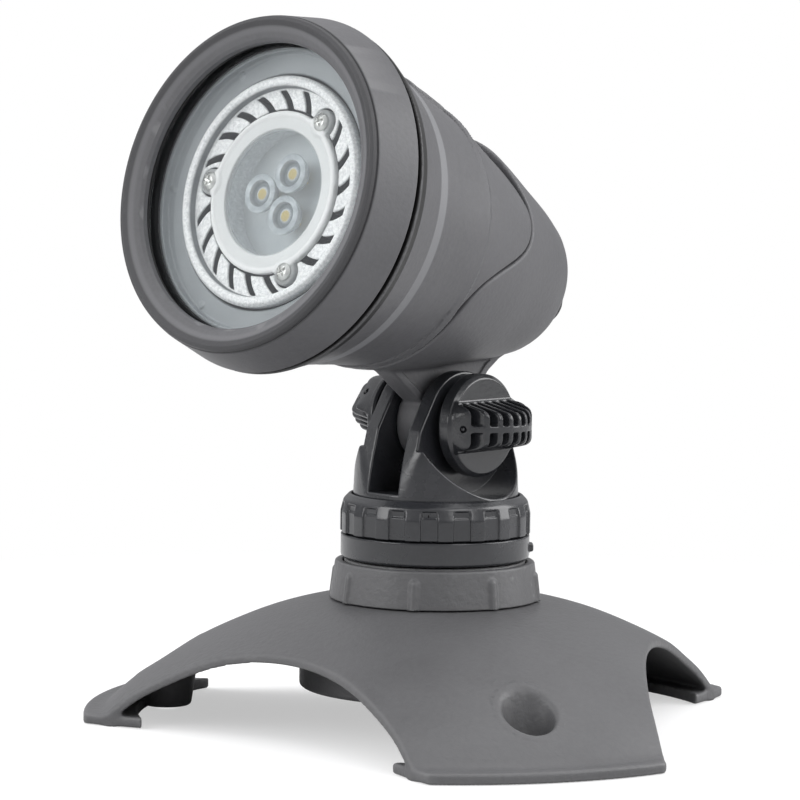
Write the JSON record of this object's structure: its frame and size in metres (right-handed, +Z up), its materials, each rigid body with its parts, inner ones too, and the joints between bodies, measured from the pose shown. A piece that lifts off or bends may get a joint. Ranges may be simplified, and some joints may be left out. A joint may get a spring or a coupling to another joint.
{
  "type": "underwater pond spotlight",
  "caption": "Round spotlight head with a domed lamp body, held by a tilting clevis and a union nut over a wide footed dome base.",
  "frame": {"origin": "under the middle of the overall bounding box, on the plane the feet rest on; the middle of the round base is at y = -3.45 mm", "axes": "+Z up, -Y the way the lamp looks at rest (13.66 degrees above level), +X along the tilt bolt towards the clamp knob"},
  "size_m": [0.1532, 0.149, 0.1557],
  "materials": {
    "grained_grey": "moulded charcoal grey plastic with a fine spark-eroded grain",
    "glossy_black": "smooth moulded black plastic with a soft gloss",
    "retainer_grey": "smooth mid grey moulding",
    "lamp_silver": "pale satin cast heat sink",
    "lens_frosted": "frosted clear lens plate",
    "clear_glass": "polished flat glass",
    "clear_optic": "polished moulded optic",
    "steel": "stainless, turned",
    "rubber_black": "matt black rubber",
    "board_white": "white solder resist on metal core board",
    "led_yellow": "yellow phosphor under clear resin",
    "ceramic_white": "unglazed pale ceramic",
    "wire_brown": "smooth brown insulation",
    "wire_blue": "smooth blue insulation"
  },
  "bodies": {
    "base": {"base_plate": "grained_grey", "swivel_socket": "glossy_black", "friction_ring": "rubber_black"},
    "collar": {"socket_collar": "grained_grey"},
    "nut": {"union_nut": "glossy_black"},
    "yoke": {"clevis": "glossy_black", "knob_washer": "steel", "bolt_washer": "steel"},
    "bolt": {"tilt_bolt": "steel", "counter_knob": "glossy_black"},
    "knob": {"clamp_knob": "glossy_black", "clamp_nut": "steel"},
    "head": {"front_housing": "grained_grey", "rear_cover": "grained_grey", "housing_seal": "rubber_black", "glass_gasket": "rubber_black", "front_glass": "clear_glass", "lamp_retainer": "retainer_grey", "lamp_heat_sink": "lamp_silver", "lamp_lens": "lens_frosted", "led_board": "board_white", "lamp_base": "ceramic_white", "lamp_socket": "ceramic_white", "power_cable": "rubber_black", "cable_gland": "glossy_black", "cable_grommet": "rubber_black", "lamp_pin_left": "steel", "lamp_pin_right": "steel", "wire_brown": "wire_brown", "wire_blue": "wire_blue", "lens_screw_1": "steel", "lens_screw_2": "steel", "lens_screw_3": "steel", "led_chip_1": "led_yellow", "led_chip_2": "led_yellow", "led_chip_3": "led_yellow", "collimator_1": "clear_optic", "collimator_2": "clear_optic", "collimator_3": "clear_optic"},
    "bezel": {"bezel_ring": "grained_grey"}
  },
  "joints": [
    {"name": "collar_turn", "type": "hinge", "parent": "base", "child": "collar", "pos_m": [0, -0.00345, 0.032], "axis": [0, 0, 1], "range_deg": [0, 60]},
    {"name": "nut_turn", "type": "hinge", "parent": "base", "child": "nut", "pos_m": [0, -0.00345, 0.047], "axis": [0, 0, 1], "continuous": true},
    {"name": "head_pan", "type": "hinge", "parent": "base", "child": "yoke", "pos_m": [0, -0.00345, 0.05], "axis": [0, 0, 1], "continuous": true},
    {"name": "head_tilt", "type": "hinge", "parent": "yoke", "child": "head", "pos_m": [0, -0.00345, 0.0672], "axis": [1, 0, 0], "range_deg": [-55, 50]},
    {"name": "bolt_turn", "type": "hinge", "parent": "yoke", "child": "bolt", "pos_m": [0, -0.00345, 0.0672], "axis": [1, 0, 0], "continuous": true},
    {"name": "knob_turn", "type": "hinge", "parent": "yoke", "child": "knob", "pos_m": [0.012, -0.00345, 0.0672], "axis": [1, 0, 0], "continuous": true},
    {"name": "bezel_turn", "type": "hinge", "parent": "head", "child": "bezel", "pos_m": [0, -0.05875, 0.1191], "axis": [0, -0.9717, 0.2362], "range_deg": [0, 35]}
  ]
}
